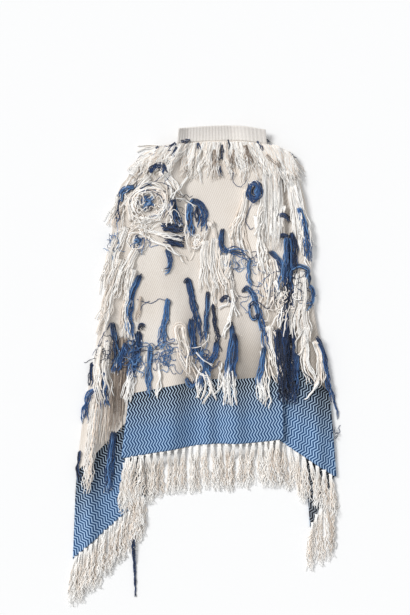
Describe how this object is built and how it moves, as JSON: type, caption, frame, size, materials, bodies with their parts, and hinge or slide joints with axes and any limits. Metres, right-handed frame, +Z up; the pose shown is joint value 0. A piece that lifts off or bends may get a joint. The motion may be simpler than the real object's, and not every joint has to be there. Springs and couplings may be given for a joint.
{
  "type": "woven fringed shawl",
  "caption": "Hand-woven cream shawl laid out flat, back up, with a blue herringbone border, knotted hem fringe, ribbed neck band and loose yarn bundles.",
  "frame": {"origin": "on the surface that the shawl lies on, under the middle of its box", "axes": "+X to the right seen from above, +Y from the hem towards the neck, +Z up out of the surface"},
  "size_m": [0.6027, 1.0799, 0.044],
  "materials": {
    "ecru_cloth": "matte",
    "ecru_yarn": "matte",
    "blue_yarn": "matte"
  },
  "bodies": {
    "root": {"cloth": "ecru_cloth", "neck_band": "ecru_cloth", "fringe_front_corner": "ecru_yarn", "fringe_right_wing": "ecru_yarn", "fringe_left_wing": "ecru_yarn", "fringe_left_return": "ecru_yarn", "fringe_right_return": "ecru_yarn", "fringe_back": "ecru_yarn", "fringe_neck": "ecru_yarn", "bundle_ecru_side": "ecru_yarn", "bundles_ecru_low": "ecru_yarn", "bundles_ecru_middle": "ecru_yarn", "bundles_ecru_waist": "ecru_yarn", "bundles_ecru_yoke": "ecru_yarn", "bundle_blue_side": "blue_yarn", "bundles_blue_low": "blue_yarn", "bundles_blue_middle": "blue_yarn", "bundles_blue_waist": "blue_yarn", "bundles_blue_yoke": "blue_yarn"}
  },
  "joints": []
}
